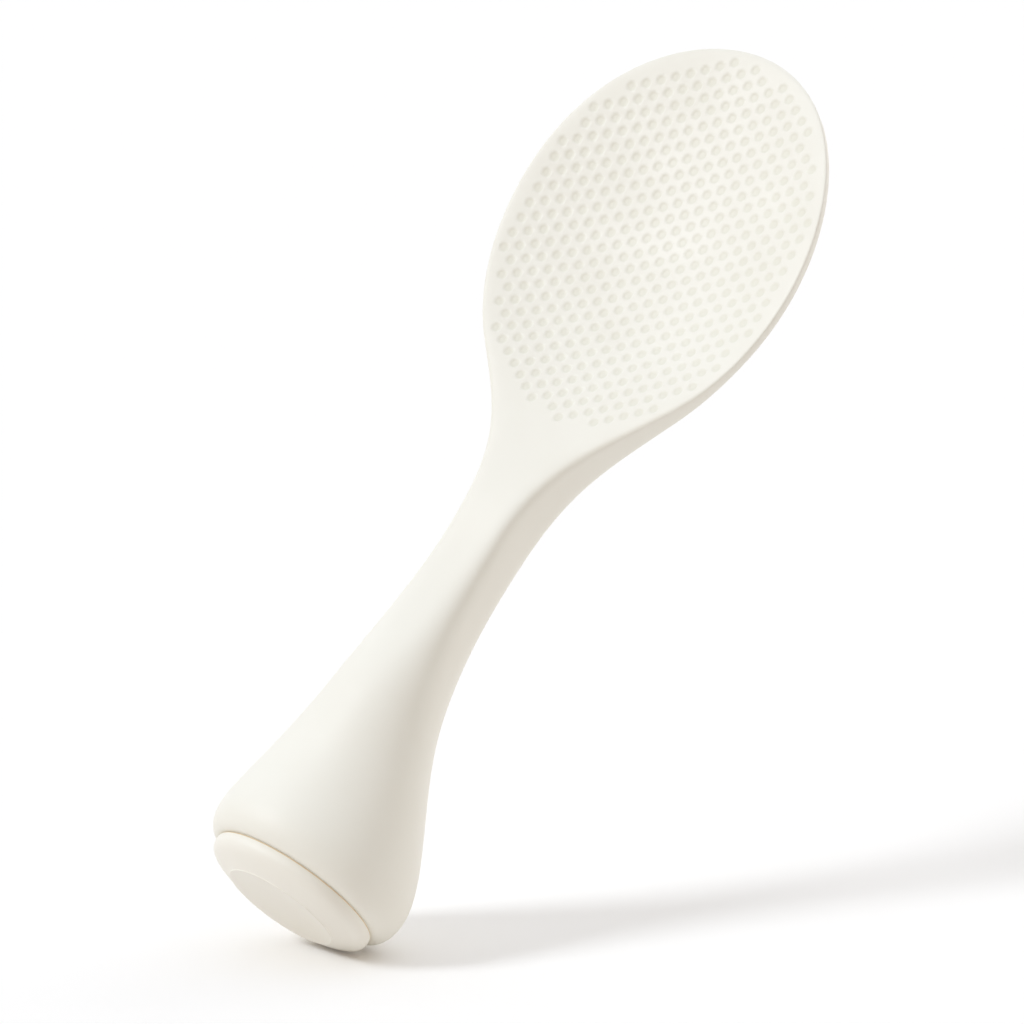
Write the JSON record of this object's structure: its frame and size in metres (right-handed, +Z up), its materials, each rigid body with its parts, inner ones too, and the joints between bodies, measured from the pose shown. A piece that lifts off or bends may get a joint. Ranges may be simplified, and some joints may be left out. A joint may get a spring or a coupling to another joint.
{
  "type": "rice paddle",
  "caption": "Self-standing rice paddle that leans a little forward, with a dimpled oval blade, a trumpet-flared hollow handle and a weighted round foot cap that plugs into it.",
  "frame": {"origin": "under the middle of the paddle's box, in the plane the foot stands on", "axes": "+Z up from the foot to the blade's tip, the dimpled face towards -Y, the blade's width along X"},
  "size_m": [0.0762, 0.063, 0.2114],
  "materials": {
    "white_plastic": "fine satin, moulded",
    "plated_steel": "zinc plated",
    "silicone": "smooth, milky"
  },
  "bodies": {
    "foot": {"base_cap": "white_plastic", "ballast_weight": "plated_steel", "ballast_screw": "plated_steel", "cap_seal": "silicone"},
    "paddle": {"paddle_body": "white_plastic"}
  },
  "joints": [
    {"name": "paddle_pull", "type": "slide", "parent": "foot", "child": "paddle", "axis": [0, 0, 1], "range_m": [0, 0.03]}
  ]
}
